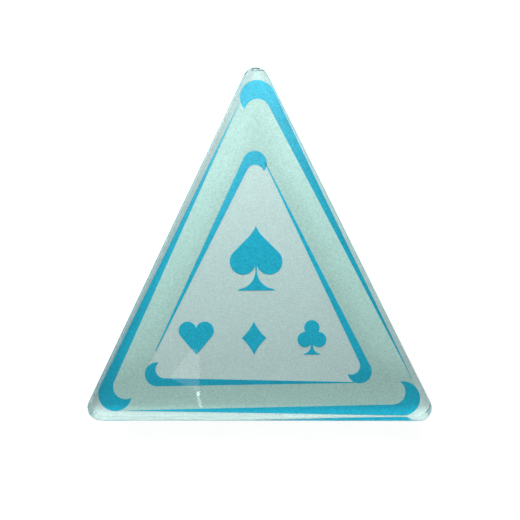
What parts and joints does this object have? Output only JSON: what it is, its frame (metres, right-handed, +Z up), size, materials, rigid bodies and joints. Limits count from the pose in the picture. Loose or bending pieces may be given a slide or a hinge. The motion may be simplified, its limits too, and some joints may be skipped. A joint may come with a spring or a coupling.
{
  "type": "all-in marker button",
  "caption": "Flat triangular clear acrylic poker marker: clear blocks bonded around a sealed card printed with tapering hooked frames and suit pips.",
  "frame": {"origin": "centre of the footprint at the underside, on the table", "axes": "+Z up through the printed face, +Y towards the apex of the triangle, +X to the right of the print"},
  "size_m": [0.076, 0.0775, 0.02],
  "materials": {
    "clear_acrylic": "polished clear cast acrylic, refractive index 1.49, faint green tint through the length",
    "bond_film": "clear cured adhesive, same refractive index as the acrylic",
    "pearl_card": "pearl white card with a fine glitter grain",
    "mint_ink": "pale mint green ink over the pearl card",
    "blue_ink": "solid sky blue ink"
  },
  "bodies": {
    "root": {"lower_block": "clear_acrylic", "lower_bond_film": "bond_film", "insert_card": "pearl_card", "upper_bond_film": "bond_film", "upper_block": "clear_acrylic", "front_mint_band": "mint_ink", "front_outer_stroke_right": "blue_ink", "front_outer_stroke_base": "blue_ink", "front_outer_stroke_left": "blue_ink", "front_inner_stroke_left": "blue_ink", "front_inner_stroke_base": "blue_ink", "front_inner_stroke_right": "blue_ink", "front_spade": "blue_ink", "front_heart": "blue_ink", "front_diamond": "blue_ink", "front_club": "blue_ink", "back_mint_band": "mint_ink", "back_outer_stroke_right": "blue_ink", "back_outer_stroke_base": "blue_ink", "back_outer_stroke_left": "blue_ink", "back_inner_stroke_left": "blue_ink", "back_inner_stroke_base": "blue_ink", "back_inner_stroke_right": "blue_ink", "back_spade": "blue_ink", "back_heart": "blue_ink", "back_diamond": "blue_ink", "back_club": "blue_ink"}
  },
  "joints": []
}
